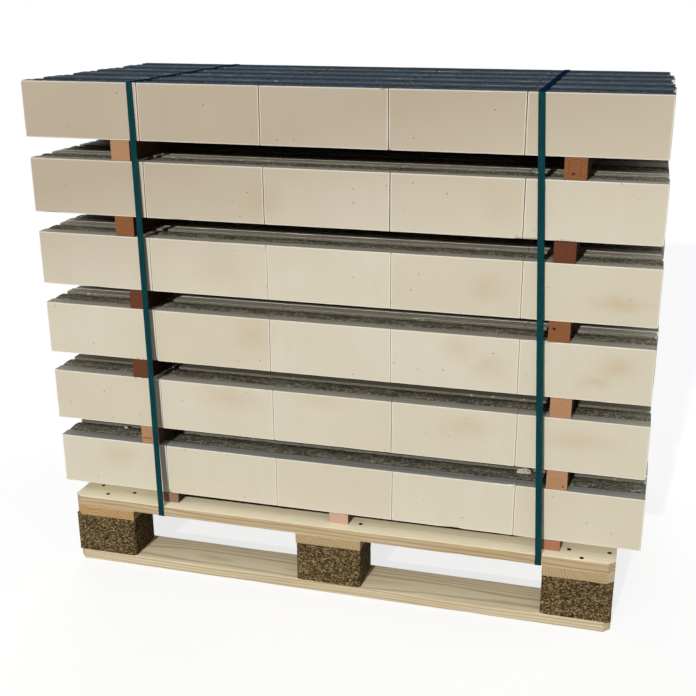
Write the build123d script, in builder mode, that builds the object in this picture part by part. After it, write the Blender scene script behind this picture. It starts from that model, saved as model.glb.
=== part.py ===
"""Flat lintels of sand-lime channel shells, stacked in layers on a wooden four-way pallet.

Millimetres, +Z up, X along the lintels, +Y to the back. The origin is the middle of the pallet's underside.
"""

import os

from build123d import *

# Pallet: deck boards and bottom boards run along X, stringer boards along Y, blocks between them
pallet_length = 1200
pallet_depth = 800
board_thickness = 23
wide_board = 145
narrow_board = 100
block_height = 89
corner_cut = 14
block_edge_radius = 9

# Lintel: short channel shells, butted end to end, hold one long concrete filling
shell_length = 254.5
shell_joint = 1
shells_per_lintel = 5
lintel_height = 113
lintel_width = 115
rim_thickness = 29
root_thickness = 33
floor_thickness = 34
filling_drop = 3
groove_width = 7
groove_depth = 7
arris = 1

# Load: rows of lintels side by side, layers on square spacers, the lowest on flat battens
rows = 5
row_gap = 2
layers = 6
load_setback = 25
spacer_side = 42
base_batten_width = 42
base_batten_height = 24

# Rows are pushed a little to one side or the other, all but the front one
row_shifts = (0, 3, -2, 4, -3)

# Layers lean a little towards -X, from the lowest to the highest
layer_shifts = (7, 4, 1, 0, -3, -7)

# Middle of each spacer, in from the ends of a lintel that isn't pushed aside, lowest gap first
left_spacer_insets = (226, 217, 222, 201, 204)
right_spacer_insets = (166, 168, 180, 179, 169)

# Middle of each base batten, in from the pallet's ends or off its middle
left_batten_inset = 225
centre_batten_offset = 18
right_batten_inset = 134

# Straps: how far each one passes the deck from its stringer board, and leans towards -X at the top
strap_width = 13
strap_thickness = 1
strap_lap = 0.5
left_strap_clearance = 63
right_strap_clearance = 2
left_strap_lean = 19
right_strap_lean = 45

# Heights that follow
block_bottom = board_thickness
stringer_bottom = block_bottom + block_height
deck_bottom = stringer_bottom + board_thickness
deck_top = deck_bottom + board_thickness
load_bottom = deck_top + base_batten_height
layer_pitch = lintel_height + spacer_side
load_top = load_bottom + layers * layer_pitch - spacer_side

# Places that follow
pallet_end = pallet_length / 2
pallet_front = -pallet_depth / 2
shell_pitch = shell_length + shell_joint
lintel_length = shells_per_lintel * shell_pitch - shell_joint
lintel_end = lintel_length / 2
row_pitch = lintel_width + row_gap
load_depth = rows * row_pitch - row_gap
load_front = pallet_front + load_setback
load_back = load_front + load_depth
load_middle = load_front + load_depth / 2

# Channel in a shell, a little narrower at its floor than at its mouth
channel_mouth = lintel_width - 2 * rim_thickness
channel_root = lintel_width - 2 * root_thickness
channel_depth = lintel_height - floor_thickness

# Filling in the channel, with a groove along each wall
filling_height = channel_depth - filling_drop
wall_height = filling_height - groove_depth
filling_wall = channel_root + (channel_mouth - channel_root) * wall_height / channel_depth
filling_crown = filling_wall - 2 * groove_width

os.makedirs("parts", exist_ok=True)

# Five deck boards, wide and narrow in turn, with the pallet's corners cut off
deck_names = ("deck_board_front", "deck_board_front_inner", "deck_board_centre",
              "deck_board_rear_inner", "deck_board_rear")
deck_widths = (wide_board, narrow_board, wide_board, narrow_board, wide_board)
deck_gap = (pallet_depth - sum(deck_widths)) / (len(deck_widths) - 1)
board_front = pallet_front
strap_rise = load_back
for name, width in zip(deck_names, deck_widths):
    with BuildPart() as deck_board:
        with BuildSketch(Plane.XY.offset(deck_bottom)):
            with Locations((0, board_front + width / 2)):
                Rectangle(pallet_length, width)
        extrude(amount=board_thickness)
        upright_edges = deck_board.edges().filter_by(Axis.Z)
        if name == "deck_board_front":
            chamfer(upright_edges.group_by(Axis.Y)[0], corner_cut)
        if name == "deck_board_rear":
            chamfer(upright_edges.group_by(Axis.Y)[-1], corner_cut)
    deck_board.part.label = name
    export_step(deck_board.part, f"parts/{name}.step")
    # The straps come up behind the load and behind the last board that carries it
    if board_front < load_back:
        strap_rise = max(load_back, board_front + width)
    board_front += width + deck_gap

# Three stringer boards across the pallet, under the deck
side_column = pallet_end - wide_board / 2
columns = {"left": -side_column, "centre": 0, "right": side_column}
for column, x in columns.items():
    name = f"stringer_board_{column}"
    with BuildPart() as stringer_board:
        with BuildSketch(Plane.XY.offset(stringer_bottom)):
            with Locations((x, 0)):
                Rectangle(wide_board, pallet_depth)
        extrude(amount=board_thickness)
        upright_edges = stringer_board.edges().filter_by(Axis.Z)
        if column == "left":
            chamfer(upright_edges.group_by(Axis.X)[0], corner_cut)
        if column == "right":
            chamfer(upright_edges.group_by(Axis.X)[-1], corner_cut)
    stringer_board.part.label = name
    export_step(stringer_board.part, f"parts/{name}.step")

# Nine pressed blocks with rounded upright edges, and three bottom boards along the block rows
side_row = -pallet_front - narrow_board / 2
block_rows = {"front": (-side_row, narrow_board), "centre": (0, wide_board), "rear": (side_row, narrow_board)}
for row, (y, width) in block_rows.items():
    for column, x in columns.items():
        name = f"block_{row}_{column}"
        with BuildPart() as block:
            with BuildSketch(Plane.XY.offset(block_bottom)):
                with Locations((x, y)):
                    RectangleRounded(wide_board, width, block_edge_radius)
            extrude(amount=block_height)
        block.part.label = name
        export_step(block.part, f"parts/{name}.step")

    name = f"bottom_board_{row}"
    with BuildPart() as bottom_board:
        with BuildSketch(Plane.XY):
            with Locations((0, y)):
                Rectangle(pallet_length, width)
        extrude(amount=board_thickness)
        upright_edges = bottom_board.edges().filter_by(Axis.Z)
        if row == "front":
            chamfer(upright_edges.group_by(Axis.Y)[0], corner_cut)
        if row == "rear":
            chamfer(upright_edges.group_by(Axis.Y)[-1], corner_cut)
    bottom_board.part.label = name
    export_step(bottom_board.part, f"parts/{name}.step")

# Flat battens between the deck and the lowest layer
base_battens = {
    "left": left_batten_inset - pallet_end,
    "centre": centre_batten_offset,
    "right": pallet_end - right_batten_inset,
}
for place, x in base_battens.items():
    name = f"base_batten_{place}"
    with BuildPart() as base_batten:
        with BuildSketch(Plane.XY.offset(deck_top)):
            with Locations((x, load_middle)):
                Rectangle(base_batten_width, load_depth)
        extrude(amount=base_batten_height)
    base_batten.part.label = name
    export_step(base_batten.part, f"parts/{name}.step")

# Square spacers between the layers, two in each gap, flush with the load's front
for gap, (left_inset, right_inset) in enumerate(zip(left_spacer_insets, right_spacer_insets), start=1):
    spacer_bottom = load_bottom + gap * layer_pitch - spacer_side
    for side, x in (("left", left_inset - lintel_end), ("right", lintel_end - right_inset)):
        name = f"spacer_{gap}_{side}"
        with BuildPart() as spacer:
            with BuildSketch(Plane.XY.offset(spacer_bottom)):
                with Locations((x, load_middle)):
                    Rectangle(spacer_side, load_depth)
            extrude(amount=spacer_side)
        spacer.part.label = name
        export_step(spacer.part, f"parts/{name}.step")

# One channel shell, open at the top, with its upright outer edges broken
with BuildPart() as channel_shell:
    with BuildSketch(Plane.YZ):
        with Locations((0, lintel_height / 2)):
            Rectangle(lintel_width, lintel_height)
        with BuildLine():
            Polyline(
                (-channel_root / 2, floor_thickness),
                (channel_root / 2, floor_thickness),
                (channel_mouth / 2, lintel_height),
                (-channel_mouth / 2, lintel_height),
                close=True,
            )
        make_face(mode=Mode.SUBTRACT)
    extrude(amount=shell_length / 2, both=True)
    outer_edges = channel_shell.edges().filter_by(Axis.Z).group_by(SortBy.LENGTH)[-1]
    chamfer(outer_edges, arris)

# One filling, as long as the lintel, that ends a little below the shells' rims
with BuildPart() as channel_filling:
    with BuildSketch(Plane.YZ):
        with BuildLine():
            Polyline(
                (-channel_root / 2, floor_thickness),
                (channel_root / 2, floor_thickness),
                (filling_wall / 2, floor_thickness + wall_height),
                (filling_crown / 2, floor_thickness + filling_height),
                (-filling_crown / 2, floor_thickness + filling_height),
                (-filling_wall / 2, floor_thickness + wall_height),
                close=True,
            )
        make_face()
    extrude(amount=lintel_end, both=True)

# Six layers, each with its rows of shells and their fillings
for layer in range(1, layers + 1):
    layer_bottom = load_bottom + (layer - 1) * layer_pitch
    row_places = []
    for row in range(rows):
        shift = layer_shifts[layer - 1] + row_shifts[row * layer % len(row_shifts)]
        row_places.append((shift, load_front + lintel_width / 2 + row * row_pitch, layer_bottom))

    name = f"lintel_shells_{layer}"
    with BuildPart() as lintel_shells:
        with Locations(*row_places):
            with GridLocations(shell_pitch, row_pitch, shells_per_lintel, 1):
                add(channel_shell.part)
    lintel_shells.part.label = name
    export_step(lintel_shells.part, f"parts/{name}.step")

    name = f"lintel_fillings_{layer}"
    with BuildPart() as lintel_fillings:
        with Locations(*row_places):
            add(channel_filling.part)
    lintel_fillings.part.label = name
    export_step(lintel_fillings.part, f"parts/{name}.step")

# Two straps round the load and under the deck, each one closed band that leans a little
stringer_edge = pallet_end - wide_board
left_strap_foot = left_strap_clearance + strap_width / 2 - stringer_edge
right_strap_foot = stringer_edge - right_strap_clearance - strap_width / 2
straps = {"left": (left_strap_foot, left_strap_lean), "right": (right_strap_foot, right_strap_lean)}
strap_bottom = deck_bottom - strap_thickness
for side, (foot_x, lean) in straps.items():
    top_x = foot_x - lean
    name = f"strap_{side}"
    with BuildPart() as strap:
        # Over the top of the load
        with BuildSketch(Plane.XY.offset(load_top)):
            with Locations((top_x, load_middle)):
                Rectangle(strap_width, load_depth + 2 * strap_thickness)
        extrude(amount=strap_thickness)

        # Under the deck and up past the edges of its boards
        with BuildSketch(Plane.YZ.offset(foot_x)):
            with BuildLine():
                Polyline(
                    (pallet_front, deck_top),
                    (pallet_front - strap_thickness, deck_top),
                    (pallet_front - strap_thickness, strap_bottom),
                    (strap_rise + strap_thickness, strap_bottom),
                    (strap_rise + strap_thickness, deck_top),
                    (strap_rise, deck_top),
                    (strap_rise, deck_bottom),
                    (pallet_front, deck_bottom),
                    close=True,
                )
            make_face()
        extrude(amount=strap_width / 2, both=True)

        # Down the front and down the back, from the load's top edge to the deck's edge
        for top_y, foot_y, outward in ((load_front, pallet_front, -1), (load_back, strap_rise, 1)):
            fall = Vector(0, foot_y - top_y, deck_top - load_top)
            run_normal = Vector(0, -fall.Z * outward, fall.Y * outward)
            run_plane = Plane(origin=(0, top_y, load_top), x_dir=(-outward, 0, 0), z_dir=run_normal)
            run_top = -outward * top_x
            run_foot = -outward * foot_x
            with BuildSketch(run_plane):
                with BuildLine():
                    Polyline(
                        (run_top - strap_width / 2, strap_lap),
                        (run_top + strap_width / 2, strap_lap),
                        (run_foot + strap_width / 2, -fall.length - strap_lap),
                        (run_foot - strap_width / 2, -fall.length - strap_lap),
                        close=True,
                    )
                make_face()
            extrude(amount=strap_thickness)
    strap.part.label = name
    export_step(strap.part, f"parts/{name}.step")
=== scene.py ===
"""Finishes for the pallet of flat lintels: worn shells, rough concrete, sawn wood, nails, splinters,
crumbs and straps.

Metres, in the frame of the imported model. X runs along the lintels, +Y to the back, +Z up.
"""

import math
import random

import bmesh
import bpy
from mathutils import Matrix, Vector, noise


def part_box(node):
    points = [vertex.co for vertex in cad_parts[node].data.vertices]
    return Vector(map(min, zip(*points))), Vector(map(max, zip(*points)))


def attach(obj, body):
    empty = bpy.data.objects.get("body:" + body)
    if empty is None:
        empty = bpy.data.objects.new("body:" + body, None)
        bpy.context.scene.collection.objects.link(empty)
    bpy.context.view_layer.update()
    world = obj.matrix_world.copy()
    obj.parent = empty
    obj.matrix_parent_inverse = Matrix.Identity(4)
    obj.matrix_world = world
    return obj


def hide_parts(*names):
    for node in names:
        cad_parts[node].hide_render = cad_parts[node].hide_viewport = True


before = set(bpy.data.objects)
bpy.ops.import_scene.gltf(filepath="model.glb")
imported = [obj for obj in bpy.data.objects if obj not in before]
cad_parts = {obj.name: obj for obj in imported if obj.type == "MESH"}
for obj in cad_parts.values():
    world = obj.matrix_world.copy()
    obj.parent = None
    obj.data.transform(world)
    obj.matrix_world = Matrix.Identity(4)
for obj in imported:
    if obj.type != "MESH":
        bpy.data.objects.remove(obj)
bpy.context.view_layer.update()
load_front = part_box("lintel_shells_1")[0].y
load_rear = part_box("lintel_shells_1")[1].y

# Camera: where it stands, which way it looks and how it is framed
CAMERA_PLACE = (0.5844, -2.3061, 1.2341)
CAMERA_AZIMUTH = 14.875
CAMERA_DOWN = 18.922
CAMERA_LENS_MM = 54.186
CAMERA_SHIFT = (-0.0212, 0.0077)

# Light: a low key from the front, soft fills from high up, behind and the right, a pale sky and floor
LAMPS = {
    "key": {"azimuth": -6.5, "height": 18.8, "strength": 2.7, "angle": 1.2, "colour": (1.0, 0.97, 0.92)},
    "fill_1": {"azimuth": 10.0, "height": 62.0, "strength": 0.7, "angle": 50.0, "colour": (1.0, 0.99, 0.97)},
    "fill_2": {"azimuth": 205.0, "height": 30.0, "strength": 1.2, "angle": 40.0, "colour": (0.97, 0.98, 1.0)},
    "fill_3": {"azimuth": 115.0, "height": 30.0, "strength": 0.7, "angle": 40.0, "colour": (0.97, 0.98, 1.0)},
}
SKY_COLOUR = (0.92, 0.95, 1.0)
SKY_STRENGTH = 0.14
FLOOR_COLOUR = (0.26, 0.26, 0.26)
FLOOR_GLOW = 0.78
FLOOR_SIZE = 60.0
FLOOR_DROP = 0.0005
WHITE = (1.0, 1.0, 1.0)

# Worn edges: rounding, cuts near the ends, spacing of the other cuts, depth and scale of the wear
SHELL_WEAR = {"round": 0.0006, "ends": (0.003, 0.0065, 0.011, 0.018), "step": 0.028, "depth": 0.0013,
              "scale": 45.0}
BOARD_WEAR = {"round": 0.0012, "ends": (0.006, 0.014), "step": 0.030, "depth": 0.0016, "scale": 21.0}
SPACER_WEAR = {"round": 0.0008, "ends": (0.005,), "step": 0.016, "depth": 0.0013, "scale": 40.0}
WEAR_FROM = 0.2
WEAR_FINE_SCALE = 5.3
WEAR_FINE_SHARE = 0.25

# Shells: layers, shells in a row, the chips on each one's edges, and how pale any edge is, as painted
# highlight
TOP_LAYER = 6
SHELLS_PER_ROW = 5
CHIPS_PER_SHELL = 3
CHIP_RADIUS = (0.004, 0.012)
CHIP_DEPTH = (0.0008, 0.0034)
EDGE_PAINTED_HIGHLIGHT = 0.55

# Joints: how far shells shift and joints close, where joints darken the shells, and a reach for none
JOINT_PLAY = 0.00005
TIGHT_JOINTS = (0.00028, 0.00044)
OPEN_JOINTS = (0.00002, 0.00026)
TIGHT_LAYERS = 4
JOINT_REACH = 0.0002
JOINT_EDGE = 0.0007
JOINT_EDGE_DARK = 0.20
FAR = 1.0

# Cement on a shell, from its lowest corner: the channel's walls, and smears on the rims
CHANNEL_FROM = 0.0285
CHANNEL_TO = 0.0865
CHANNEL_FLOOR = 0.040
CHANNEL_END = 0.0015
SMEARED_LAYERS = 2
SMEARED_FROM = 0.1122
REAR_RIM_FROM = 0.0485

# Concrete: steps along the filling, its section as (from the wall, height over the CAD top), and roughness
FILLING_STEPS = 210
FILLING_EDGE = ((0.0, -0.0062), (0.0022, -0.0064), (0.0042, -0.0030), (0.0068, 0.0006), (0.011, 0.0018))
TOP_FILLING_EDGE = ((0.0, -0.0012), (0.0022, -0.0016), (0.0042, -0.0004), (0.0068, 0.0006), (0.011, 0.0012))
FILLING_MIDDLE_STEPS = 8
FILLING_CROWN = 0.0013
FILLING_ROUGHNESS = 0.0012
FILLING_LUMPS = ((55.0, 0.7), (170.0, 0.6))
FILLING_SINK = 0.4
FILLING_HELD = 0.004

# Pressed blocks: grid of the skin, depth and scale of its chips
BLOCK_STEP = 0.0044
BLOCK_RELIEF = 0.0009
BLOCK_CHIP_SCALE = 160.0

# Nails: the heads, and their places: (x, from the front) on the front board, else shares of each crossing
NAIL_RADIUS = 0.0046
NAIL_RISE = 0.0006
NAIL_SIDES = 14
NAIL_PROFILE = ((1.0, -1.0), (1.0, 0.4), (0.8, 1.0), (0.35, 0.7))
NAIL_SEED = 11
FRONT_NAILS = ((-0.5596, 0.0626), (-0.5284, 0.0252), (-0.4722, 0.0454), (0.0644, 0.0344), (-0.045, 0.105),
               (0.505, 0.0389), (0.5322, 0.0103), (0.586, 0.0453))
WIDE_NAIL_SHARES = ((0.16, 0.20), (0.20, 0.80), (0.50, 0.48), (0.84, 0.22), (0.80, 0.78))
NARROW_NAIL_SHARES = ((0.25, 0.24), (0.75, 0.76))
WIDE_BOARD_FROM = 0.12

# Straps: the band's section and its bends over edges
STRAP_WIDTH = 0.013
STRAP_THICKNESS = 0.001
STRAP_BEND = 0.0018
STRAP_BEND_STEPS = 6
STRAP_SECTION = ((-0.5, -0.2), (-0.48, -0.5), (0.48, -0.5), (0.5, -0.2),
                 (0.5, 0.2), (0.48, 0.5), (-0.48, 0.5), (-0.5, 0.2))

# Stains on the load's front: x, z, half width, half height, strength
STAINS = (
    (0.567, 0.689, 0.055, 0.016, 0.75), (0.569, 0.563, 0.040, 0.026, 0.80),
    (0.533, 0.531, 0.040, 0.014, 0.65), (0.266, 0.574, 0.034, 0.024, 0.50),
    (0.324, 0.544, 0.034, 0.024, 0.55), (0.284, 0.412, 0.055, 0.026, 0.55),
    (0.506, 0.406, 0.075, 0.023, 0.60), (-0.166, 0.569, 0.046, 0.036, 0.50),
    (-0.220, 0.422, 0.072, 0.026, 0.55), (-0.015, 0.439, 0.060, 0.020, 0.35),
    (-0.489, 0.261, 0.044, 0.026, 0.55), (0.315, 0.702, 0.038, 0.030, 0.45),
    (-0.211, 0.697, 0.060, 0.036, 0.30), (-0.138, 0.849, 0.045, 0.040, 0.40),
    (0.335, 0.865, 0.040, 0.045, 0.30),
)
STAIN_DEPTH = 0.06
STAIN_EDGE = (1.35, 0.1)

# Cracks, a knot and nail holes in the spacers' ends: x, z, half width, half height, strength
END_MARKS = (
    (0.4653, 0.9270, 0.0034, 0.0020, 0.90), (0.4570, 0.9400, 0.0006, 0.0120, 0.45),
    (0.4785, 0.9370, 0.0006, 0.0150, 0.45), (0.4482, 0.6315, 0.0034, 0.0028, 0.95),
    (0.4848, 0.3042, 0.0019, 0.0019, 0.95), (-0.4200, 0.3090, 0.0130, 0.0011, 0.85),
)
END_MARK_DEPTH = 0.012
END_MARK_EDGE = (1.3, 0.7)

# Splinters on the front edges of two spacers: node, edge (1 the upper, -1 the lower), how many
SPLINTERED = (("spacer_4_right", 1, 46), ("spacer_2_left", 1, 22), ("spacer_2_left", -1, 14))
SPLINTER_LENGTH = (0.0015, 0.0060)
SPLINTER_SHARE = (0.4, 1.0)
SPLINTER_WIDTH = (0.0003, 0.0009)
SPLINTER_LEAN = 0.6
SPLINTER_OUT = (0.0005, 0.0015)
SPLINTER_INSET = 0.001
SPLINTER_ROOT = 0.0015
SPLINTER_BACK = 0.0004
SPLINTER_FRONT = 0.0009
SPLINTER_SIDES = ((0, 1, 2), (0, 3, 1), (1, 3, 2), (2, 3, 0))

# Crumbs of stone on the lowest filling: x, y and half sizes, roughness, and how high they lie
CRUMBS = ((0.400, -0.307, (0.0150, 0.0085, 0.0070)), (-0.508, -0.303, (0.0050, 0.0045, 0.0035)))
CRUMB_ROUGHNESS = 0.30
CRUMB_LUMPS = 1.7
CRUMB_APART = 40.0
CRUMB_LIFT = 0.6

# Meshes: axes, edges that are rounded, faces that are one, and vertices that are one
X, Y, Z = 0, 1, 2
SHARP_EDGE = math.radians(25)
FLAT_ENOUGH = math.radians(0.5)
WELD = 1e-6

# Timber: how far aside a log's heart lies, by the width, the log's length, and each kind's heart and rings
HEART_ASIDE = 0.4
LOG_LENGTH = 20.0
BOARD = {"slot": "pallet_wood", "wear": BOARD_WEAR, "heart": (0.030, 0.075), "rings": 0.0062}
SPACER = {"slot": "spacer_wood", "wear": SPACER_WEAR, "heart": (0.0, 0.035), "rings": 0.0050}
BOARD_GRAIN = {"deck_board": X, "bottom_board": X, "stringer_board": Y}
PALE_STRINGERS = ("stringer_board_centre", "stringer_board_right")

# Spots: the share of the radius that has the full tone
SPOT_CORE = 0.45


class Nodes:
    """Short calls that add shader nodes to one tree."""

    def __init__(self, tree):
        self.tree = tree

    def put(self, socket, value):
        """Sets a socket to a value, or links it to another socket."""
        if isinstance(value, bpy.types.NodeSocket):
            self.tree.links.new(value, socket)
        elif socket.type == "RGBA":
            socket.default_value = (*value, 1.0)
        else:
            socket.default_value = value

    def add(self, kind, settings=None, *inputs, **named_inputs):
        """A node of that kind, with its settings and its inputs by place or by name."""
        made = self.tree.nodes.new("ShaderNode" + kind)
        for key, value in (settings or {}).items():
            setattr(made, key, value)
        for socket, value in zip(made.inputs, inputs):
            self.put(socket, value)
        for key, value in named_inputs.items():
            self.put(made.inputs[key], value)
        return made

    def math(self, operation, first, second=0.0, clamp=False):
        """Result of one or two numbers."""
        return self.add("Math", {"operation": operation, "use_clamp": clamp}, first, second).outputs[0]

    def times(self, first, second):
        """Product of two numbers."""
        return self.math("MULTIPLY", first, second)

    def vector(self, operation, *inputs):
        """Result of vectors."""
        return self.add("VectorMath", {"operation": operation}, *inputs).outputs[0]

    def place(self):
        """Place in the object's own axes, which are the frame's."""
        return self.add("TexCoord").outputs["Object"]

    def attribute(self, name, output="Fac"):
        """A value stored on the mesh."""
        return self.add("Attribute", {"attribute_name": name}).outputs[output]

    def part(self, vector, axis):
        """One coordinate of a vector."""
        return self.add("SeparateXYZ", None, vector).outputs[axis]

    def length(self, vector):
        """Length of a vector."""
        return self.add("VectorMath", {"operation": "LENGTH"}, vector).outputs["Value"]

    def facing(self, axis):
        """How far the surface faces up an axis, from -1 to 1."""
        return self.part(self.add("NewGeometry").outputs["True Normal"], axis)

    def noise(self, place, scale, detail=3.0, rough=0.55, warp=0.0):
        """Noise from 0 to 1. The scale is one number, or one for each axis."""
        if isinstance(scale, tuple):
            place = self.vector("MULTIPLY", place, scale)
            scale = 1.0
        made = self.add("TexNoise", Vector=place, Scale=scale, Detail=detail, Roughness=rough,
                        Distortion=warp)
        return made.outputs["Fac"]

    def cells(self, place, scale):
        """Distance from the middle of the nearest cell, and a lot from 0 to 1 for that cell."""
        made = self.add("TexVoronoi", {"feature": "F1"}, Vector=place, Scale=scale)
        lot = self.add("SeparateColor", None, made.outputs["Color"]).outputs[0]
        return made.outputs["Distance"], lot

    def band(self, value, low, high, most=1.0):
        """0 at low, most at high, straight between."""
        return self.add("MapRange", {"clamp": True}, value, low, high, 0.0, most).outputs["Result"]

    def blend(self, share, first, second, kind="MIX"):
        """Two colours mixed by a share."""
        made = self.add("Mix", {"data_type": "RGBA", "blend_type": kind}, share)
        self.put(made.inputs[6], first)
        self.put(made.inputs[7], second)
        return made.outputs[2]

    def spots(self, place, scale, radius, kept):
        """1 in small round spots, in a share of the cells of that scale."""
        distance, lot = self.cells(place, scale)
        inside = self.band(distance, radius * scale, radius * scale * SPOT_CORE)
        return self.times(inside, self.math("LESS_THAN", lot, kept))

    def relief(self, height, strength, depth, under=None):
        """A bump from a height, over another bump if there is one."""
        made = self.add("Bump", None, strength, depth, Height=height)
        if under is not None:
            self.put(made.inputs["Normal"], under)
        return made.outputs["Normal"]


def finish(name, roughness, gloss):
    """A new material, its nodes and its surface shader."""
    material = bpy.data.materials.new(name)
    material.use_nodes = True
    surface = material.node_tree.nodes["Principled BSDF"]
    surface.inputs["Roughness"].default_value = roughness
    surface.inputs["Specular IOR Level"].default_value = gloss
    return material, Nodes(material.node_tree), surface


def cover(nodes, surface, colour, normal):
    """Gives a surface its colour and its bump."""
    nodes.put(surface.inputs["Base Color"], colour)
    nodes.put(surface.inputs["Normal"], normal)


# Sand-lime: tones, and tones of rims and channel cement for the lower layers and the top one; lower rims'
# grey is partly painted shade
CREAM_PALE = (0.635, 0.596, 0.490)
CREAM_WARM = (0.588, 0.533, 0.421)
CREAM_STAIN = (0.47, 0.33, 0.175)
# painted shade: multiplies the cream towards the upper left of the load
CREAM_PAINTED_SHADE = (0.77, 0.715, 0.69)
PIT_DARK = (0.16, 0.135, 0.10)
# pale edges: wear, and painted highlight on every edge away from joints
ARRIS_WEAR_AND_HIGHLIGHT = (0.88, 0.855, 0.785)
JOINT_DARK = (0.20, 0.150, 0.095)
RIM = {"pale": (0.41, 0.39, 0.335), "dark": (0.22, 0.207, 0.172), "low": (0.80, 0.85, 0.95),
       "film": (0.19, 0.177, 0.140), "film_dark": (0.105, 0.097, 0.075), "facing": (0.80, 0.92),
       "film_from": 0.17, "channel_top": 0.1128, "fills_joints": False}
TOP_RIM = {"pale": (0.078, 0.104, 0.132), "dark": (0.034, 0.047, 0.061), "low": (1.0, 1.0, 1.0),
           "film": (0.034, 0.045, 0.058), "film_dark": (0.022, 0.030, 0.039), "facing": (0.50, 0.80),
           "film_from": -1.0, "channel_top": 0.1140, "fills_joints": True}


def marked_share(nodes, place, marks, depth, edge):
    """The strongest of some oval marks on the load's front, each with its own strength."""
    total = None
    for x, z, half_x, half_z, strength in marks:
        from_centre = nodes.vector("SUBTRACT", place, (x, load_front, z))
        scaled = nodes.vector("DIVIDE", from_centre, (half_x, depth, half_z))
        here = nodes.band(nodes.length(scaled), *edge, most=strength)
        total = here if total is None else nodes.math("MAXIMUM", total, here)
    return total


def ragged_place(nodes, place, scale, reach):
    """A place pushed to and fro by noise, for marks with ragged rims."""
    push = nodes.add("TexNoise", None, Vector=place, Scale=scale, Detail=3.0).outputs["Color"]
    centred = nodes.vector("SUBTRACT", push, (0.5, 0.5, 0.5))
    return nodes.vector("MULTIPLY_ADD", centred, (reach, 0.0, reach), place)


def cream(nodes, place, mottle):
    """Cream that differs from shell to shell, with clouds, upright streaks and stains, and painted shade on
    the upper left.
    """
    cloud = nodes.noise(place, scale=6.0, detail=2.0, rough=0.5, warp=0.4)
    streak = nodes.noise(place, scale=(70.0, 70.0, 5.0), detail=2.0)
    warm = nodes.math("ADD", nodes.times(cloud, 0.65), nodes.times(nodes.attribute("lot"), 0.40))
    body = nodes.blend(nodes.band(warm, 0.25, 0.85), CREAM_PALE, CREAM_WARM)
    body = nodes.blend(nodes.band(streak, 0.45, 0.75, most=0.20), body, CREAM_WARM)
    body = nodes.blend(nodes.band(mottle, 0.40, 0.75, most=0.18), body, CREAM_WARM)
    ragged = ragged_place(nodes, place, scale=30.0, reach=0.028)
    stains = marked_share(nodes, ragged, STAINS, STAIN_DEPTH, STAIN_EDGE)
    body = nodes.blend(nodes.times(stains, 0.52), body, CREAM_STAIN)
    # painted shade: darker cream towards the upper left
    upper_left = nodes.math("SUBTRACT", nodes.part(place, Z), nodes.times(nodes.part(place, X), 0.25))
    painted_shade = nodes.blend(1.0, body, CREAM_PAINTED_SHADE, "MULTIPLY")
    return nodes.blend(nodes.band(upper_left, 0.72, 1.0), body, painted_shade)


def upward_tone(nodes, place, grit, rim):
    """The tone of a rim: speckled in long streaks, cooler low down; on lower layers, partly painted shade
    with a sky tint.
    """
    streak = nodes.noise(place, scale=(2.5, 150.0, 2.5))
    film = nodes.blend(nodes.band(grit, 0.50, 0.66, most=0.75), rim["pale"], rim["dark"])
    film = nodes.blend(nodes.band(streak, 0.48, 0.70, most=0.55), film, rim["dark"])
    cooled = nodes.blend(1.0, film, rim["low"], "MULTIPLY")
    return nodes.blend(nodes.band(nodes.part(place, Z), 0.42, 0.30), film, cooled)


def sand_lime(name, rim):
    """Cream sand-lime: small pits, dark joints, edges pale partly from wear and partly as painted highlight,
    rim tones that are partly painted shade, and cement on channel walls.
    """
    material, nodes, surface = finish(name, roughness=0.92, gloss=0.0)
    place = nodes.place()
    mottle = nodes.noise(place, scale=28.0, detail=4.0, rough=0.6)
    grit = nodes.noise(place, scale=420.0, detail=2.0, rough=0.7)
    smear = nodes.noise(place, scale=60.0, rough=0.6)
    pits = nodes.spots(place, scale=60.0, radius=0.0018, kept=0.20)

    # Faces
    body = nodes.blend(nodes.times(pits, 0.85), cream(nodes, place, mottle), PIT_DARK)
    body = nodes.blend(nodes.attribute("joint"), body, JOINT_DARK)
    # pale edges: partly wear, partly painted highlight
    body = nodes.blend(nodes.times(nodes.attribute("worn"), 0.90), body, ARRIS_WEAR_AND_HIGHLIGHT)

    # Rims and channel walls: the lower layers' grey rims are partly painted shade
    upward = nodes.band(nodes.facing(Z), *rim["facing"])
    body = nodes.blend(upward, body, upward_tone(nodes, place, grit, rim))
    smeared = nodes.band(smear, rim["film_from"], rim["film_from"] + 0.2)
    cement = nodes.blend(nodes.band(grit, 0.46, 0.62), rim["film"], rim["film_dark"])
    body = nodes.blend(nodes.times(nodes.attribute("channel"), smeared), body, cement)

    fine = nodes.relief(grit, strength=0.22, depth=0.0006)
    broad = nodes.relief(mottle, strength=0.12, depth=0.0015, under=fine)
    unpitted = nodes.math("SUBTRACT", 1.0, pits)
    cover(nodes, surface, body, nodes.relief(unpitted, strength=0.6, depth=0.001, under=broad))
    return material


# Concrete: tones of the fillings, of the top layer's upper sides, and of the crumbs
FILLING_TONES = {"dark": (0.075, 0.070, 0.054), "mid": (0.215, 0.203, 0.155), "pale": (0.40, 0.385, 0.32)}
TOP_TONES = {"dark": (0.018, 0.026, 0.035), "mid": (0.047, 0.065, 0.085), "pale": (0.13, 0.157, 0.18)}
CRUMB_TONES = {"dark": (0.42, 0.38, 0.30), "mid": (0.62, 0.57, 0.47), "pale": (0.78, 0.74, 0.65)}


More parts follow.
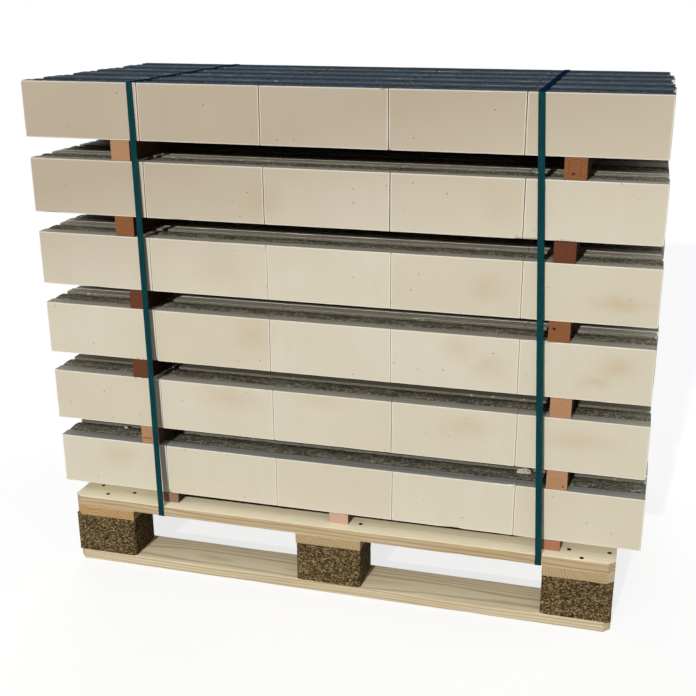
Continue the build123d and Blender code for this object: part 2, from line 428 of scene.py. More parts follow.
def concrete(name, tones, top_tones=None):
    """Rough concrete: clouds along the filling, paler and darker grains, and other tones on top if given."""
    material, nodes, surface = finish(name, roughness=0.95, gloss=0.0)
    place = nodes.place()
    grain_reach, lot = nodes.cells(place, scale=230.0)
    grit = nodes.noise(place, scale=330.0, detail=4.0, rough=0.7)
    cloud = nodes.noise(place, scale=(12.0, 60.0, 12.0), detail=4.0, rough=0.65)
    if top_tones:
        upward = nodes.band(nodes.facing(Z), 0.3, 0.6)
        tones = {key: nodes.blend(upward, tones[key], top_tones[key]) for key in tones}
    body = nodes.blend(nodes.band(cloud, 0.36, 0.64), tones["dark"], tones["mid"])
    body = nodes.blend(nodes.band(lot, 0.70, 0.95, most=0.70), body, tones["pale"])
    body = nodes.blend(nodes.band(lot, 0.26, 0.05, most=0.70), body, tones["dark"])
    body = nodes.blend(nodes.band(grit, 0.52, 0.70, most=0.45), body, tones["pale"])
    coarse = nodes.relief(grain_reach, strength=0.55, depth=0.002)
    cover(nodes, surface, body, nodes.relief(grit, strength=0.6, depth=0.0012, under=coarse))
    return material


# Wood of the pallet: tones of the sides, ends and tops, and how strong the growth lines are; tops are paler
# partly as cleaner wood and partly as painted light
DECK_WOOD = {"pale": (0.56, 0.465, 0.30), "mid": (0.45, 0.34, 0.195), "dark": (0.25, 0.15, 0.068),
             "end": (0.48, 0.300, 0.140), "end_dark": (0.22, 0.125, 0.050), "lines": 0.55,
             "top": (0.94, 0.87, 0.67), "top_dark": (0.84, 0.73, 0.51)}
BOTTOM_WOOD = {"pale": (0.64, 0.56, 0.385), "mid": (0.55, 0.45, 0.29), "dark": (0.27, 0.185, 0.095),
               "end": (0.45, 0.335, 0.185), "end_dark": (0.25, 0.175, 0.09), "lines": 0.60,
               "top": (0.90, 0.80, 0.57), "top_dark": (0.47, 0.36, 0.205)}

# Wood of the spacers and battens: tones of the ends and of their lines, and the share of them on sides and
# tops, as painted shade
SPACER_WOODS = {
    "tan": ((0.42, 0.238, 0.126), (0.27, 0.135, 0.062)),
    "orange": ((0.250, 0.102, 0.042), (0.135, 0.048, 0.018)),
    "red": ((0.130, 0.046, 0.023), (0.085, 0.027, 0.013)),
    "brick": ((0.36, 0.160, 0.095), (0.25, 0.098, 0.055)),
    "rose": ((0.52, 0.355, 0.255), (0.38, 0.230, 0.150)),
    "dull": ((0.26, 0.165, 0.105), (0.14, 0.082, 0.048)),
}
SPACER_SIDE_PAINTED_SHADE = 0.30
SPACER_LINES = 0.45
WOOD_OF_SPACER = {
    "spacer_1_left": "tan", "spacer_1_right": "tan",
    "spacer_2_left": "red", "spacer_2_right": "tan",
    "spacer_3_left": "red", "spacer_3_right": "orange",
    "spacer_4_left": "orange", "spacer_4_right": "red",
    "spacer_5_left": "tan", "spacer_5_right": "orange",
    "base_batten_left": "dull", "base_batten_centre": "rose", "base_batten_right": "brick",
}

# All wood: tone of cracks and holes, shade of knots, and how square a face is to the top or an end
MARK_DARK = (0.022, 0.012, 0.007)
KNOT_SHADE = 0.42
SQUARE_ON = (0.75, 0.9)

# Painted shadow on the deck under the load: its near-black tone, ends in x, how far inside front and rear it
# lies, slant, unevenness and fades
UNDER_LOAD_PAINTED_SHADOW = (0.030, 0.020, 0.012)
COVERED_ENDS = (-0.36, 0.39)
COVERED_FROM = 0.0375
COVERED_SLANT = 0.006
COVERED_UNEVEN = 0.004
COVERED_FRONT_FADE = 0.002
COVERED_END_FADE = 0.02


def spacer_tones(end, end_dark):
    """Tones of a spacer or batten: sawn ends in full tone, and sides and tops darkened as painted shade."""
    # painted shade: sides and tops at a share of the ends' tones
    side = tuple(tone * SPACER_SIDE_PAINTED_SHADE for tone in end)
    side_dark = tuple(tone * SPACER_SIDE_PAINTED_SHADE for tone in end_dark)
    return {"pale": side, "mid": side, "dark": side_dark, "end": end, "end_dark": end_dark,
            "lines": SPACER_LINES, "top": side, "top_dark": side_dark}


def painted_shadow_under_load(nodes):
    """1 where the deck under the load gets painted shadow, from a slanted line behind its front to near its
    rear.
    """
    place = nodes.place()
    along = nodes.part(place, X)
    left, right = COVERED_ENDS
    front = load_front + COVERED_FROM
    rear = load_rear - COVERED_FROM
    uneven = nodes.times(nodes.noise(place, scale=45.0), COVERED_UNEVEN)
    depth = nodes.part(place, Y)
    slanted = nodes.math("SUBTRACT", depth, nodes.times(along, COVERED_SLANT))
    behind = nodes.band(nodes.math("ADD", slanted, uneven), front, front + COVERED_FRONT_FADE)
    before = nodes.band(depth, rear, rear - COVERED_END_FADE)
    from_left = nodes.band(along, left - COVERED_END_FADE, left)
    from_right = nodes.band(along, right + COVERED_END_FADE, right)
    return nodes.times(nodes.times(behind, before), nodes.times(from_left, from_right))


def growth_lines(nodes, log, ring_spacing):
    """Late wood, from 0 to 1: rings about the log's heart, of uneven strength, that wander along the log."""
    heart_reach = nodes.length(nodes.vector("MULTIPLY", log, (0.0, 1.0, 1.0)))
    wander = nodes.noise(log, scale=(1.5, 8.0, 8.0), detail=2.0, rough=0.45)
    waver = nodes.noise(log, scale=(5.0, 70.0, 70.0), detail=2.0, rough=0.5)
    pushes = nodes.math("ADD", nodes.times(wander, 0.030), nodes.times(waver, 0.0035))
    ring_reach = nodes.math("ADD", heart_reach, pushes)
    rings = nodes.math("SINE", nodes.times(ring_reach, 2.0 * math.pi / ring_spacing))
    year = nodes.add("CombineXYZ", None, nodes.times(ring_reach, 0.6 / ring_spacing), 0.0, 0.0).outputs[0]
    strength = nodes.band(nodes.noise(year, scale=1.0, detail=1.0), 0.25, 0.62)
    return nodes.times(nodes.band(rings, 0.0, 1.0), strength)


def end_grain(nodes, log, lines, tones):
    """The faces across the log: rings, speckles, and the cracks, knot and holes of the spacers' ends."""
    speckle = nodes.noise(log, scale=420.0, rough=0.7)
    body = nodes.blend(nodes.times(lines, 0.7), tones["end"], tones["end_dark"])
    body = nodes.blend(nodes.band(speckle, 0.50, 0.70, most=0.40), body, tones["end_dark"])
    ragged = ragged_place(nodes, nodes.place(), scale=140.0, reach=0.003)
    marks = marked_share(nodes, ragged, END_MARKS, END_MARK_DEPTH, END_MARK_EDGE)
    return nodes.blend(marks, body, MARK_DARK)


def sawn_wood(name, kind, grain_axis, tones, painted_load_shadow=False):
    """Sawn softwood: growth rings, fibres, knots and end grain, with a paler top, partly cleaner wood and
    partly painted light, and, if asked, painted shadow where a load covers it.
    """
    material, nodes, surface = finish(name, roughness=0.82, gloss=0.1)
    log = nodes.attribute("log", "Vector")
    lines = growth_lines(nodes, log, kind["rings"])
    drawn_lines = nodes.times(lines, tones["lines"])
    fibre = nodes.noise(log, scale=(7.0, 330.0, 330.0), rough=0.65)
    fibres = nodes.band(fibre, 0.50, 0.72)
    cloud = nodes.noise(log, scale=(1.8, 11.0, 11.0), warp=0.4)

    # Sides
    body = nodes.blend(nodes.band(cloud, 0.34, 0.66), tones["pale"], tones["mid"])
    body = nodes.blend(drawn_lines, body, tones["dark"])
    body = nodes.blend(nodes.times(fibres, 0.34), body, tones["dark"])

    # Top: paler, partly cleaner wood and partly painted light
    clean_and_lit_top = nodes.blend(drawn_lines, tones["top"], tones["top_dark"])
    clean_and_lit_top = nodes.blend(nodes.times(fibres, 0.22), clean_and_lit_top, tones["top_dark"])
    # painted shadow: near black on the deck under the load
    if painted_load_shadow:
        clean_and_lit_top = nodes.blend(painted_shadow_under_load(nodes), clean_and_lit_top, UNDER_LOAD_PAINTED_SHADOW)
    body = nodes.blend(nodes.band(nodes.facing(Z), *SQUARE_ON), body, clean_and_lit_top)

    # Knots, in a few places, and ends
    knot_place = nodes.vector("MULTIPLY", log, (0.42, 1.0, 1.0))
    knots = nodes.spots(knot_place, scale=7.0, radius=0.011, kept=0.30)
    knot_dark = tuple(tone * KNOT_SHADE for tone in tones["dark"])
    body = nodes.blend(nodes.times(knots, 0.8), body, knot_dark)
    ends = nodes.band(nodes.math("ABSOLUTE", nodes.facing(grain_axis)), *SQUARE_ON)
    body = nodes.blend(ends, body, end_grain(nodes, log, lines, tones))

    fine = nodes.relief(fibre, strength=0.35, depth=0.0008)
    cover(nodes, surface, body, nodes.relief(lines, strength=0.15, depth=0.0008, under=fine))
    return material


# Pressed chips: tones
CHIP_PALE = (0.36, 0.268, 0.126)
CHIP_MID = (0.110, 0.072, 0.031)
CHIP_DARK = (0.020, 0.012, 0.006)


def pressed_chips(name):
    """Pressed wood chips: small flakes from tan to nearly black."""
    material, nodes, surface = finish(name, roughness=0.85, gloss=0.1)
    place = nodes.place()
    warp = nodes.add("TexNoise", None, Vector=place, Scale=90.0, Detail=2.0).outputs["Color"]
    bent = nodes.vector("MULTIPLY_ADD", warp, (0.012, 0.012, 0.012), place)
    flake_reach, flake_lot = nodes.cells(nodes.vector("MULTIPLY", bent, (1.0, 1.0, 1.6)), scale=270.0)
    dust_lot = nodes.cells(bent, scale=520.0)[1]
    mixed = nodes.math("ADD", nodes.times(flake_lot, 0.62), nodes.times(dust_lot, 0.38))
    body = nodes.blend(nodes.band(mixed, 0.20, 0.52), CHIP_DARK, CHIP_MID)
    body = nodes.blend(nodes.band(mixed, 0.55, 0.86), body, CHIP_PALE)
    body = nodes.blend(nodes.band(flake_reach, 0.50, 0.80, most=0.7), body, CHIP_DARK)
    coarse = nodes.relief(flake_lot, strength=0.45, depth=0.0012)
    cover(nodes, surface, body, nodes.relief(dust_lot, strength=0.3, depth=0.0006, under=coarse))
    return material


# Strap band: tones, with a painted sky reflection in navy, and turns of the pressed lattice per metre, in
# radians
STRAP_TEAL = (0.0050, 0.043, 0.050)
STRAP_WORN = (0.014, 0.085, 0.092)
STRAP_PAINTED_SKY_REFLECTION = (0.0045, 0.010, 0.034)
LATTICE_TURNS = 2100.0


def strap_plastic(name):
    """Dark teal polyester band with a fine pressed lattice and paler scuffs, and a painted navy sky
    reflection where it lies flat.
    """
    material, nodes, surface = finish(name, roughness=0.50, gloss=0.0)
    place = nodes.place()
    across = nodes.part(place, X)
    along = nodes.math("ADD", nodes.part(place, Y), nodes.part(place, Z))
    rise = nodes.math("SINE", nodes.times(nodes.math("ADD", along, across), LATTICE_TURNS))
    fall = nodes.math("SINE", nodes.times(nodes.math("SUBTRACT", along, across), LATTICE_TURNS))
    scuff = nodes.noise(place, scale=(260.0, 30.0, 30.0), detail=4.0, rough=0.65)
    body = nodes.blend(nodes.band(scuff, 0.52, 0.75, most=0.6), STRAP_TEAL, STRAP_WORN)
    # painted reflection: navy sky on faces that look up
    body = nodes.blend(nodes.band(nodes.facing(Z), 0.5, 0.9), body, STRAP_PAINTED_SKY_REFLECTION)
    cover(nodes, surface, body, nodes.relief(nodes.times(rise, fall), strength=0.25, depth=0.0003))
    return material


# Nail steel: tones, near black partly as painted shade of countersinks, and how far it looks like metal
NAIL_STEEL_AND_SHADE = (0.012, 0.010, 0.008)
NAIL_RUST = (0.035, 0.020, 0.011)
NAIL_METALLIC = 0.2


def nail_steel(name):
    """Dull dark steel with a little rust, near black partly as painted shade of countersinks."""
    material, nodes, surface = finish(name, roughness=0.8, gloss=0.1)
    rust = nodes.noise(nodes.place(), scale=380.0, rough=0.6)
    nodes.put(surface.inputs["Base Color"], nodes.blend(nodes.band(rust, 0.45, 0.65), NAIL_STEEL_AND_SHADE, NAIL_RUST))
    surface.inputs["Metallic"].default_value = NAIL_METALLIC
    return material


# Mesh building

def in_scene(name, data):
    """A new object in the scene."""
    made = bpy.data.objects.new(name, data)
    bpy.context.scene.collection.objects.link(made)
    return made


def piece(name, mesh, material, slot, *nodes):
    """A new object that stands for CAD nodes, or lies on them, and rides with the load."""
    made = in_scene(name, mesh)
    mesh.materials.append(material)
    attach(made, "root")
    if nodes:
        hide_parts(*nodes)


def clean_solid(node):
    """A CAD node's mesh with whole flat faces."""
    solid = bmesh.new()
    solid.from_mesh(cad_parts[node].data)
    bmesh.ops.remove_doubles(solid, verts=solid.verts, dist=WELD)
    bmesh.ops.dissolve_limit(solid, angle_limit=FLAT_ENOUGH, verts=solid.verts, edges=solid.edges)
    return solid


def islands(solid):
    """Lists of the vertices that hang together, in the mesh's own order, which each run keeps."""
    left = dict.fromkeys(solid.verts)
    found = []
    while left:
        group = [next(iter(left))]
        del left[group[0]]
        for vert in group:
            for edge in vert.link_edges:
                other = edge.other_vert(vert)
                if other in left:
                    del left[other]
                    group.append(other)
        found.append(group)
    return found


def corners_of(verts):
    """Lowest and highest corners of some vertices."""
    places = [v.co for v in verts]
    low = Vector([min(p[axis] for p in places) for axis in range(3)])
    high = Vector([max(p[axis] for p in places) for axis in range(3)])
    return low, high


def cut_across(solid, axis, places):
    """Cuts a solid's faces by planes across an axis."""
    normal = Vector([float(axis == k) for k in range(3)])
    for place in places:
        geometry = [*solid.verts, *solid.edges, *solid.faces]
        bmesh.ops.bisect_plane(solid, geom=geometry, plane_co=normal * place, plane_no=normal)


def cut_places(low, high, ends, step):
    """Places of the cuts: close together near both ends and even between them."""
    near = [low + end for end in ends if end * 2.0 < high - low]
    far = [high - end for end in reversed(ends) if end * 2.0 < high - low]
    start = near[-1] if near else low
    stop = far[0] if far else high
    count = max(1, round((stop - start) / step))
    return near + [start + (stop - start) * k / count for k in range(1, count)] + far


def worn_blank(solid, wear):
    """Places, normals, edge marks and faces of a solid with cut faces and rounded edges."""
    low, high = corners_of(solid.verts)
    for axis in range(3):
        cut_across(solid, axis, cut_places(low[axis], high[axis], wear["ends"], wear["step"]))
    sharp = [e for e in solid.edges if e.is_manifold and e.calc_face_angle() > SHARP_EDGE]
    rounded = bmesh.ops.bevel(solid, geom=sharp, offset=wear["round"], segments=2, profile=0.5,
                              affect="EDGES", clamp_overlap=False)
    edge_verts = {v for v in rounded["verts"] if v.is_valid}
    solid.normal_update()
    solid.verts.index_update()
    places = [v.co.copy() for v in solid.verts]
    normals = [v.normal.copy() for v in solid.verts]
    marks = [v in edge_verts for v in solid.verts]
    faces = [[v.index for v in f.verts] for f in solid.faces]
    solid.free()
    return places, normals, marks, faces


def wear_depth(place, wear):
    """How far an edge is worn back at a place."""
    broad = noise.noise(place * wear["scale"])
    fine = noise.noise(place * wear["scale"] * WEAR_FINE_SCALE)
    return wear["depth"] * (max(0.0, broad - WEAR_FROM) + max(0.0, fine) * WEAR_FINE_SHARE)


def chip_depth(place, chips):
    """How deep the deepest chip is at a place."""
    deepest = 0.0
    for centre, radius, depth in chips:
        reach = (place - centre).length / radius
        deepest = max(deepest, depth * (1.0 - reach * reach))
    return deepest


def within(place, low, high):
    """A place kept inside a box."""
    return Vector([min(max(place[axis], low[axis]), high[axis]) for axis in range(3)])


def store(mesh, label, values, kind="FLOAT"):
    """Stores a value for each vertex on a mesh."""
    data = mesh.attributes.new(label, kind, "POINT").data
    if kind == "FLOAT":
        data.foreach_set("value", values)
    else:
        data.foreach_set("vector", [number for value in values for number in value])


def new_mesh(name, verts, faces):
    """A mesh from places and faces."""
    mesh = bpy.data.meshes.new(name)
    mesh.from_pydata(verts, [], faces)
    mesh.update()
    return mesh


def rod_faces(start, steps, ring):
    """Faces of a closed rod, whose rings of vertices follow one another from a first vertex."""
    faces = []
    for step in range(steps):
        for side in range(ring):
            here = start + step * ring + side
            beside = start + step * ring + (side + 1) % ring
            faces.append((here, here + ring, beside + ring, beside))
    last = start + steps * ring
    faces.append([start + side for side in range(ring)])
    faces.append([last + side for side in reversed(range(ring))])
    return faces


# Lintels

def shell_chips(lots, edge_places):
    """Chips at a few edge vertices of one shell, drawn by lot."""
    chips = []
    for centre in lots.sample(edge_places, CHIPS_PER_SHELL):
        size = lots.random() ** 2
        radius = CHIP_RADIUS[0] + (CHIP_RADIUS[1] - CHIP_RADIUS[0]) * size
        chips.append((centre, radius, CHIP_DEPTH[0] + (CHIP_DEPTH[1] - CHIP_DEPTH[0]) * size))
    return chips


def shell_blank(node):
    """One shell of a layer at the origin, with worn edges, and the lowest corners of all, row by row."""
    solid = clean_solid(node)
    groups = islands(solid)
    corners = [corners_of(group)[0] for group in groups]
    others = [v for group in groups[1:] for v in group]
    bmesh.ops.delete(solid, geom=others, context="VERTS")
    bmesh.ops.translate(solid, verts=solid.verts, vec=-corners[0])
    return worn_blank(solid, SHELL_WEAR), sorted(corners, key=lambda corner: (round(corner.y, 4), corner.x))


def edge_wear_and_highlight(depth, from_joint):
    """How pale an edge is, from 0 to 1: painted highlight on every edge, and wear where it is worn back.
    Edges at joints are pale only where they are worn back.
    """
    least = 0.0 if from_joint < JOINT_EDGE else EDGE_PAINTED_HIGHLIGHT
    return min(1.0, least + depth / SHELL_WEAR["depth"])


def joint_share(on_edge, from_joint):
    """How dark a joint makes a shell, from 0 to 1."""
    if from_joint >= JOINT_EDGE:
        return 0.0
    return JOINT_EDGE_DARK if on_edge else float(from_joint < JOINT_REACH)


def has_cement(place, from_joint, layer, rim):
    """Whether cement covers a place of a shell: in the channel, on a rear rim or in a joint's mouth."""
    in_channel = CHANNEL_FROM < place.y < CHANNEL_TO and CHANNEL_FLOOR < place.z < rim["channel_top"]
    on_rim = place.z > SMEARED_FROM
    on_rear_rim = layer <= SMEARED_LAYERS and on_rim and place.y > REAR_RIM_FROM
    in_mouth = rim["fills_joints"] and on_rim and from_joint < JOINT_EDGE < place.y
    return in_channel or on_rear_rim or in_mouth


def make_shells(layer, material, rim):
    """The channel shells of one layer, with worn and chipped edges."""
    node = f"lintel_shells_{layer}"
    (places, normals, marks, blank_faces), corners = shell_blank(node)
    edge_places = [place for place, mark in zip(places, marks) if mark]
    length = max(place.x for place in places)
    closing = TIGHT_JOINTS if layer <= TIGHT_LAYERS else OPEN_JOINTS
    lots = random.Random(layer)
    verts, faces = [], []
    values = {"worn": [], "lot": [], "channel": [], "joint": []}
    for number, corner in enumerate(corners):
        start = len(verts)
        at_left = number % SHELLS_PER_ROW == 0
        at_right = number % SHELLS_PER_ROW == SHELLS_PER_ROW - 1
        own_lot = lots.random()
        chips = shell_chips(lots, edge_places)
        play = 0.0 if at_left or at_right else lots.uniform(-JOINT_PLAY, JOINT_PLAY)
        move = corner + Vector((play, 0.0, 0.0))
        left_closing = 0.0 if at_left else lots.uniform(*closing)
        right_closing = 0.0 if at_right else lots.uniform(*closing)
        for place, normal, mark in zip(places, normals, marks):
            depth = wear_depth(place + move, SHELL_WEAR) + chip_depth(place, chips) if mark else 0.0
            stretch = place.x / length * (left_closing + right_closing) - left_closing
            verts.append(place + move + Vector((stretch, 0.0, 0.0)) - normal * depth)
            to_right = length - place.x
            from_joint = min(FAR if at_left else place.x, FAR if at_right else to_right)
            from_end = min(place.x if at_left else FAR, to_right if at_right else FAR)
            cement = from_end > CHANNEL_END and has_cement(place, from_joint, layer, rim)
            values["worn"].append(edge_wear_and_highlight(depth, from_joint) if mark else 0.0)
            values["lot"].append(own_lot)
            values["channel"].append(float(cement))
            values["joint"].append(joint_share(mark, from_joint))
        faces += [[start + index for index in face] for face in blank_faces]
    mesh = new_mesh(node, verts, faces)
    for label, numbers in values.items():
        store(mesh, label, numbers)
    piece(f"shells_layer_{layer}", mesh, material, "sand_lime", node)


def filling_section(width, edge_points):
    """The top of a filling from wall to wall, as (from the front wall, height over the CAD top)."""
    edge, crown_foot = edge_points[-1]
    middle = []
    for step in range(1, FILLING_MIDDLE_STEPS):
        share = step / FILLING_MIDDLE_STEPS
        height = crown_foot + FILLING_CROWN * math.sin(math.pi * share)
        middle.append((edge + (width - 2 * edge) * share, height))
    return [*edge_points, *middle, *((width - reach, height) for reach, height in reversed(edge_points))]


def rough_height(place, from_wall):
    """How far a filling's top rises or sinks at a place. Its edges at the walls are held."""
    lumps = sum(noise.noise(place * scale) * share for scale, share in FILLING_LUMPS)
    held = min(1.0, from_wall / FILLING_HELD)
    return FILLING_ROUGHNESS * (lumps - FILLING_SINK) * held


def make_fillings(layer, material, edge_points):
    """The concrete in the channels of one layer: a rough crown between two grooves."""
    node = f"lintel_fillings_{layer}"
    solid = clean_solid(node)
    verts, faces = [], []
    for group in islands(solid):
        low, high = corners_of(group)
        width = high.y - low.y
        root = [v.co.y for v in group if v.co.z - low.z < WELD]
        section = filling_section(width, edge_points)
        start = len(verts)
        for step in range(FILLING_STEPS + 1):
            x = low.x + (high.x - low.x) * step / FILLING_STEPS
            for reach, height in section:
                place = Vector((x, low.y + reach, high.z))
                rise = height + rough_height(place, min(reach, width - reach))
                verts.append(place + Vector((0.0, 0.0, rise)))
            verts.append(Vector((x, max(root), low.z)))
            verts.append(Vector((x, min(root), low.z)))
        faces += rod_faces(start, FILLING_STEPS, len(section) + 2)
    solid.free()
    piece(f"fillings_layer_{layer}", new_mesh(node, verts, faces), material, "concrete", node)


# Wood

def make_timber(node, material, kind, grain_axis, seed):
    """A sawn board or batten with worn edges. It notes each vertex's place in the log it was cut from."""
    solid = clean_solid(node)
    low, high = corners_of(solid.verts)
    lots = random.Random(seed)
    side_axis = Y if grain_axis == X else X
    aside = lots.uniform(-HEART_ASIDE, HEART_ASIDE) * (high - low)[side_axis]
    heart_side = (low[side_axis] + high[side_axis]) / 2 + aside
    heart_height = (low.z + high.z) / 2 + lots.choice((-1.0, 1.0)) * lots.uniform(*kind["heart"])
    along = lots.uniform(0.0, LOG_LENGTH)
    places, normals, marks, faces = worn_blank(solid, kind["wear"])
    verts, log = [], []
    for place, normal, mark in zip(places, normals, marks):
        depth = wear_depth(place, kind["wear"]) if mark else 0.0
        verts.append(within(place - normal * depth, low, high))
        log.append((place[grain_axis] + along, place[side_axis] - heart_side, place.z - heart_height))
    mesh = new_mesh(node, verts, faces)
    store(mesh, "log", log, "FLOAT_VECTOR")
    piece(f"{node}_sawn", mesh, material, kind["slot"], node)


def make_block(node, material):
    """A pressed block with the relief of its chips on every side."""
    solid = clean_solid(node)
    low, high = corners_of(solid.verts)
    for axis in range(3):
        cut_across(solid, axis, cut_places(low[axis], high[axis], (), BLOCK_STEP))
    solid.normal_update()
    for vert in solid.verts:
        depth = BLOCK_RELIEF * (0.5 + 0.5 * noise.noise(vert.co * BLOCK_CHIP_SCALE))
        outward = Vector((vert.normal.x, vert.normal.y, 0.0))
        if low.z + WELD < vert.co.z < high.z - WELD:
            vert.co -= outward * depth
    mesh = bpy.data.meshes.new(node)
    solid.to_mesh(mesh)
    solid.free()
    piece(f"{node}_chips", mesh, material, "pressed_block", node)


def nail_places():
    """Places of the nails on top of the deck."""
    front_low, front_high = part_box("deck_board_front")
    found = [Vector((x, front_low.y + reach, front_high.z)) for x, reach in FRONT_NAILS]
    lots = random.Random(NAIL_SEED)
    for node in ("front_inner", "centre", "rear_inner", "rear"):
        low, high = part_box(f"deck_board_{node}")
        shares = WIDE_NAIL_SHARES if high.y - low.y > WIDE_BOARD_FROM else NARROW_NAIL_SHARES
        for column in ("left", "centre", "right"):
            left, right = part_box(f"stringer_board_{column}")
            for across, along in shares:
                x = left.x + (right.x - left.x) * along + lots.uniform(-1.0, 1.0) * NAIL_RADIUS
                y = low.y + (high.y - low.y) * across + lots.uniform(-1.0, 1.0) * NAIL_RADIUS
                found.append(Vector((x, y, high.z)))
    return found


def make_nails(material):
    """Slightly domed nail heads on the deck."""
    verts, faces = [], []
    for place in nail_places():
        start = len(verts)
        for reach, rise in NAIL_PROFILE:
            for side in range(NAIL_SIDES):
                turn = -2.0 * math.pi * side / NAIL_SIDES
                out = Vector((math.cos(turn), math.sin(turn), 0.0)) * (NAIL_RADIUS * reach)
                verts.append(place + out + Vector((0.0, 0.0, NAIL_RISE * rise)))
        faces += rod_faces(start, len(NAIL_PROFILE) - 1, NAIL_SIDES)
    piece("deck_nails", new_mesh("deck_nails", verts, faces), material, "pallet_wood")


def make_splinters(node, edge, count, material):
    """Slivers of wood that stand up from the upper front edge of a spacer, or hang from the lower one."""
    low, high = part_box(node)
    edge_z = high.z if edge > 0 else low.z
    root_z = edge_z - edge * SPLINTER_ROOT
    lots = random.Random(count)
    verts, faces = [], []
    for _ in range(count):
        start = len(verts)
        x = lots.uniform(low.x + SPLINTER_INSET, high.x - SPLINTER_INSET)
        width = lots.uniform(*SPLINTER_WIDTH)
        length = lots.uniform(*SPLINTER_LENGTH) * lots.uniform(*SPLINTER_SHARE)
        lean = lots.uniform(-SPLINTER_LEAN, SPLINTER_LEAN) * length
        out = lots.uniform(*SPLINTER_OUT)
        verts.append(Vector((x - width, low.y + SPLINTER_BACK, root_z)))
        verts.append(Vector((x + width, low.y + SPLINTER_BACK, root_z)))
        verts.append(Vector((x, low.y - SPLINTER_FRONT, root_z)))
        verts.append(Vector((x + lean, low.y - out, edge_z + edge * length)))
        for side in SPLINTER_SIDES:
            turned = side if edge > 0 else side[::-1]
            faces.append([start + corner for corner in turned])
    label = "upper" if edge > 0 else "lower"
    name = f"{node}_{label}_splinters"
    mesh = new_mesh(name, verts, faces)
    store(mesh, "log", verts, "FLOAT_VECTOR")
    piece(name, mesh, material, "spacer_wood")


def make_crumbs(material):
    """Crumbs of broken stone that lie on the lowest front filling."""
    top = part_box("lintel_fillings_1")[1].z
    solid = bmesh.new()
    for x, y, half in CRUMBS:
        made = bmesh.ops.create_icosphere(solid, subdivisions=3, radius=1.0)
        for vert in made["verts"]:
            lump = noise.noise(vert.co * CRUMB_LUMPS + Vector((x, y, 0.0)) * CRUMB_APART)
            rough = 1.0 + CRUMB_ROUGHNESS * lump
            vert.co = Vector([vert.co[axis] * half[axis] * rough for axis in range(3)])
            vert.co += Vector((x, y, top + half[Z] * CRUMB_LIFT))
    mesh = bpy.data.meshes.new("crumbs")
    solid.to_mesh(mesh)
    solid.free()
    piece("filling_crumbs", mesh, material, "sand_lime")


# Straps

def bent_path(corners):
    """A closed path round corners in (y, z), with each corner rounded."""
    path = []
    for k, corner in enumerate(corners):
        before = (corners[k - 1] - corner).normalized()
        after = (corners[(k + 1) % len(corners)] - corner).normalized()
        reach = STRAP_BEND / math.tan(before.angle(after) / 2.0)
        start = corner + before * reach
        end = corner + after * reach
        for step in range(STRAP_BEND_STEPS + 1):
            share = step / STRAP_BEND_STEPS
            path.append(start * (1 - share) ** 2 + corner * 2 * share * (1 - share) + end * share ** 2)
    return path


def make_strap(side, material):
    """One band round the load and under the deck, bent over the edges that it is pulled against."""
    node = f"strap_{side}"
    low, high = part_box(node)
    load_low, load_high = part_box(f"lintel_shells_{TOP_LAYER}")
    deck_low, deck_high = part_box("deck_board_front")
    half = STRAP_THICKNESS / 2
    path = bent_path([
        Vector((load_low.y - half, load_high.z + half)),
        Vector((deck_low.y - half, deck_high.z)),
        Vector((deck_low.y - half, deck_low.z - half)),
        Vector((high.y - half, deck_low.z - half)),
        Vector((high.y - half, deck_high.z)),
        Vector((load_high.y + half, load_high.z + half)),
    ])
    top_x = low.x + STRAP_WIDTH / 2
    foot_x = high.x - STRAP_WIDTH / 2
    ring = len(STRAP_SECTION)
    verts, faces = [], []
    for k, (y, z) in enumerate(path):
        ahead = path[(k + 1) % len(path)] - path[k - 1]
        out = Vector((ahead.y, -ahead.x)).normalized()
        share = min(1.0, max(0.0, (load_high.z - z) / (load_high.z - deck_high.z)))
        x = top_x + (foot_x - top_x) * share
        for wide, thick in STRAP_SECTION:
            offset = out * (thick * STRAP_THICKNESS)
            verts.append((x + wide * STRAP_WIDTH, y + offset.x, z + offset.y))
        for j in range(ring):
            here = k * ring
            next_ring = (k + 1) % len(path) * ring
            beside = (j + 1) % ring
            faces.append((here + j, here + beside, next_ring + beside, next_ring + j))
    piece(f"band_{side}", new_mesh(node, verts, faces), material, "strap_band", node)


# Stage

def seen_directly(nodes):
    """1 for rays of the camera, of gloss and through glass."""
    path = nodes.add("LightPath")
    gloss = nodes.math("ADD", path.outputs["Is Glossy Ray"], path.outputs["Is Transmission Ray"])
    return nodes.math("ADD", path.outputs["Is Camera Ray"], gloss, clamp=True)


def make_floor():
    """A pale floor that keeps the object's shadow."""
    far = FLOOR_SIZE / 2
    verts = [(x, y, -FLOOR_DROP) for x, y in ((-far, -far), (far, -far), (far, far), (-far, far))]
    mesh = new_mesh("floor", verts, [(0, 1, 2, 3)])
    floor = in_scene("floor", mesh)
    material, nodes, surface = finish("floor_pale", roughness=0.9, gloss=0.0)
    nodes.put(surface.inputs["Base Color"], FLOOR_COLOUR)
    glow = nodes.add("Emission", None, WHITE, nodes.times(seen_directly(nodes), FLOOR_GLOW))
    both = nodes.add("AddShader", None, surface.outputs[0], glow.outputs[0])
    nodes.put(nodes.tree.nodes["Material Output"].inputs["Surface"], both.outputs[0])
    mesh.materials.append(material)


def towards(azimuth, height):
    """Direction at an azimuth from the front and a height over the floor, both in degrees."""
    turn = math.radians(azimuth)
    rise = math.radians(height)
    flat = math.cos(rise)
    return Vector((math.sin(turn) * flat, -math.cos(turn) * flat, math.sin(rise)))


def make_lamp(name, values):
    """A distant lamp."""
    lamp = bpy.data.lights.new(name, "SUN")
    lamp.energy = values["strength"]
    lamp.angle = math.radians(values["angle"])
    lamp.color = values["colour"]
    direction = towards(values["azimuth"], values["height"])
    in_scene(name, lamp).rotation_euler = direction.to_track_quat("Z", "Y").to_euler()


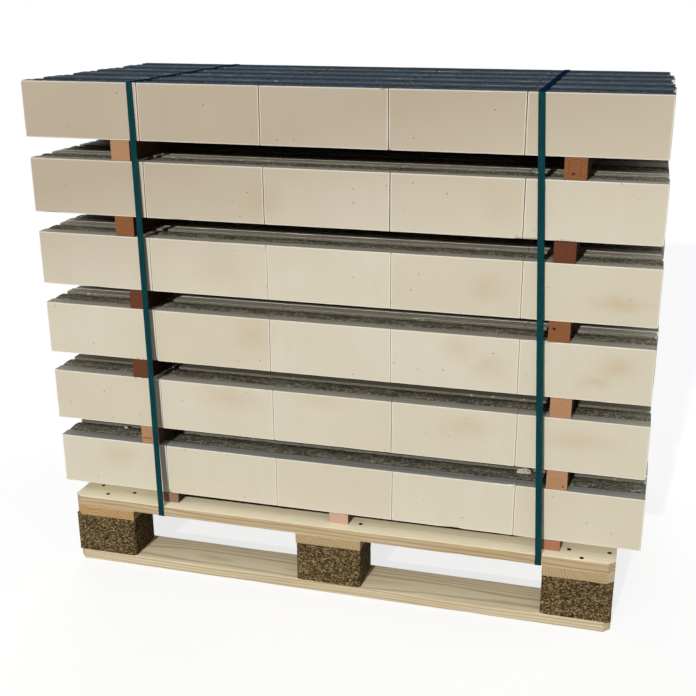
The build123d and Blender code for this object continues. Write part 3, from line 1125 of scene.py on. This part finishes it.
def make_sky():
    """A pale sky that the camera sees as white."""
    world = bpy.data.worlds.new("sky")
    world.use_nodes = True
    nodes = Nodes(world.node_tree)
    sky = world.node_tree.nodes["Background"]
    nodes.put(sky.inputs["Color"], SKY_COLOUR)
    nodes.put(sky.inputs["Strength"], SKY_STRENGTH)
    white = nodes.add("Background", None, WHITE, 1.0)
    mixed = nodes.add("MixShader", None, seen_directly(nodes), sky.outputs[0], white.outputs[0])
    nodes.put(world.node_tree.nodes["World Output"].inputs["Surface"], mixed.outputs[0])
    bpy.context.scene.world = world


def make_camera():
    """A camera at the photograph's place and angle."""
    data = bpy.data.cameras.new("camera")
    data.lens = CAMERA_LENS_MM
    data.shift_x, data.shift_y = CAMERA_SHIFT
    camera = in_scene("camera", data)
    camera.location = CAMERA_PLACE
    ahead = -towards(CAMERA_AZIMUTH, CAMERA_DOWN)
    camera.rotation_euler = ahead.to_track_quat("-Z", "Y").to_euler()
    bpy.context.scene.camera = camera


# Making

make_camera()

shell_stone = sand_lime("sand_lime", RIM)
top_stone = sand_lime("sand_lime_dark_top", TOP_RIM)
filling_stone = concrete("concrete", FILLING_TONES)
top_filling_stone = concrete("concrete_dark_top", FILLING_TONES, TOP_TONES)
for layer_number in range(1, TOP_LAYER):
    make_shells(layer_number, shell_stone, RIM)
    make_fillings(layer_number, filling_stone, FILLING_EDGE)
make_shells(TOP_LAYER, top_stone, TOP_RIM)
make_fillings(TOP_LAYER, top_filling_stone, TOP_FILLING_EDGE)

board_woods = {
    "deck_board": sawn_wood("deck_wood", BOARD, X, DECK_WOOD, painted_load_shadow=True),
    "bottom_board": sawn_wood("bottom_wood", BOARD, X, BOTTOM_WOOD),
    "stringer_board": sawn_wood("stringer_wood", BOARD, Y, DECK_WOOD),
}
pale_stringer_wood = sawn_wood("pale_stringer_wood", BOARD, Y, BOTTOM_WOOD)
spacer_woods = {}
for wood_name, (end_tone, end_dark_tone) in SPACER_WOODS.items():
    wood_tones = spacer_tones(end_tone, end_dark_tone)
    spacer_woods[wood_name] = sawn_wood(f"{wood_name}_wood", SPACER, Y, wood_tones)
chip_board = pressed_chips("pressed_chips")
for seed_number, cad_node in enumerate(sorted(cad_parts)):
    family = "_".join(cad_node.split("_")[:2])
    if cad_node in PALE_STRINGERS:
        make_timber(cad_node, pale_stringer_wood, BOARD, Y, seed_number)
    elif family in BOARD_GRAIN:
        make_timber(cad_node, board_woods[family], BOARD, BOARD_GRAIN[family], seed_number)
    elif cad_node in WOOD_OF_SPACER:
        make_timber(cad_node, spacer_woods[WOOD_OF_SPACER[cad_node]], SPACER, Y, seed_number)
    elif cad_node.startswith("block_"):
        make_block(cad_node, chip_board)

make_nails(nail_steel("nail_steel"))
for splintered_node, splintered_edge, splinter_count in SPLINTERED:
    make_splinters(splintered_node, splintered_edge, splinter_count, spacer_woods["tan"])
make_crumbs(concrete("crumb_stone", CRUMB_TONES))
strap_band = strap_plastic("strap_plastic")
make_strap("left", strap_band)
make_strap("right", strap_band)

make_floor()
for lamp_name, lamp_values in LAMPS.items():
    make_lamp(lamp_name, lamp_values)
make_sky()
bpy.context.scene.view_settings.view_transform = "Standard"
